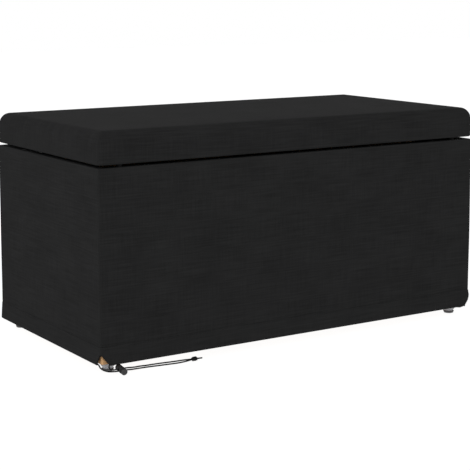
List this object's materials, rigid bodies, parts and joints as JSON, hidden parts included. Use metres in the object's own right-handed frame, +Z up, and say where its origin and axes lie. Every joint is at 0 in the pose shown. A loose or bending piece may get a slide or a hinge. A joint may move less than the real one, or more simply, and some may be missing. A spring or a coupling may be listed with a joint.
{
  "type": "storage bench",
  "caption": "Long low storage bench: wooden box in a black fabric slipcover with a hem drawcord and cord lock, hinged cushioned lid, round glides.",
  "frame": {"origin": "on the floor, under the middle of the bench", "axes": "+X along the bench, +Y to its back (the hinge side), +Z up"},
  "size_m": [1.003, 0.5232, 0.5],
  "materials": {
    "box_fabric": "matt black woven cloth with a faint slub",
    "lid_fabric": "matt black woven cloth with a faint slub",
    "plywood": "raw light plywood",
    "pine": "raw sawn pine",
    "glide_plastic": "satin grey moulding",
    "drawcord": "black braided cord",
    "lock_plastic": "dark grey moulding",
    "spring_steel": "drawn spring wire",
    "zinc_plate": "zinc plated sheet",
    "screw_steel": "yellow zinc plated",
    "foam": "open cell cushion foam",
    "wadding": "white polyester wadding",
    "undercloth": "black non-woven cloth",
    "rubber": "matt black rubber"
  },
  "bodies": {
    "base": {"base_cover": "box_fabric", "front_panel": "plywood", "back_panel": "plywood", "left_panel": "plywood", "right_panel": "plywood", "bottom_board": "plywood", "corner_post_front_left": "pine", "corner_post_front_right": "pine", "corner_post_rear_left": "pine", "corner_post_rear_right": "pine", "glide_front_left": "glide_plastic", "glide_front_right": "glide_plastic", "glide_rear_left": "glide_plastic", "glide_rear_right": "glide_plastic", "hem_drawcord": "drawcord", "drawcord_left_end": "drawcord", "drawcord_right_end": "drawcord", "drawcord_knot": "drawcord", "cord_lock_body": "lock_plastic", "cord_lock_spring": "spring_steel", "hinge_base_leaf_left": "zinc_plate", "hinge_base_leaf_right": "zinc_plate", "hinge_pin_left": "zinc_plate", "hinge_pin_right": "zinc_plate", "stay_stud_left": "zinc_plate", "stay_stud_right": "zinc_plate", "hinge_base_screw_left_outer": "screw_steel", "hinge_base_screw_left_inner": "screw_steel", "hinge_base_screw_right_outer": "screw_steel", "hinge_base_screw_right_inner": "screw_steel", "side_wadding": "wadding"},
    "lid": {"lid_board": "plywood", "lid_foam": "foam", "lid_cover": "lid_fabric", "lid_underside_cloth": "undercloth", "hinge_lid_leaf_left": "zinc_plate", "hinge_lid_leaf_right": "zinc_plate", "stay_bracket_left": "zinc_plate", "stay_bracket_right": "zinc_plate", "lid_bumper_left": "rubber", "lid_bumper_right": "rubber", "hinge_lid_screw_left_outer": "screw_steel", "hinge_lid_screw_left_inner": "screw_steel", "hinge_lid_screw_right_outer": "screw_steel", "hinge_lid_screw_right_inner": "screw_steel", "stay_screw_left_front": "screw_steel", "stay_screw_left_rear": "screw_steel", "stay_screw_right_front": "screw_steel", "stay_screw_right_rear": "screw_steel"},
    "left_stay": {"stay_arm_left": "zinc_plate"},
    "right_stay": {"stay_arm_right": "zinc_plate"},
    "lock_button": {"cord_lock_button": "lock_plastic"}
  },
  "joints": [
    {"name": "lid_hinge", "type": "hinge", "parent": "base", "child": "lid", "pos_m": [0, 0.2476, 0.4285], "axis": [-1, 0, 0], "range_deg": [0, 95]},
    {"name": "left_stay_pivot", "type": "hinge", "parent": "lid", "child": "left_stay", "pos_m": [-0.4717, 0.08821, 0.41456], "axis": [1, 0, 0], "range_deg": [0, 48]},
    {"name": "right_stay_pivot", "type": "hinge", "parent": "lid", "child": "right_stay", "pos_m": [0.4717, 0.08821, 0.41456], "axis": [1, 0, 0], "range_deg": [0, 48]},
    {"name": "lock_button_press", "type": "slide", "parent": "base", "child": "lock_button", "axis": [0, 0.9877, 0.1564], "range_m": [0, 0.003], "stiffness_N_per_m": 250, "springref_m": -0.004, "deforming": ["cord_lock_spring"]}
  ],
  "couplings": [
    {"joint": "left_stay_pivot", "follows": "lid_hinge", "ratio": 0.5},
    {"joint": "right_stay_pivot", "follows": "lid_hinge", "ratio": 0.5}
  ]
}
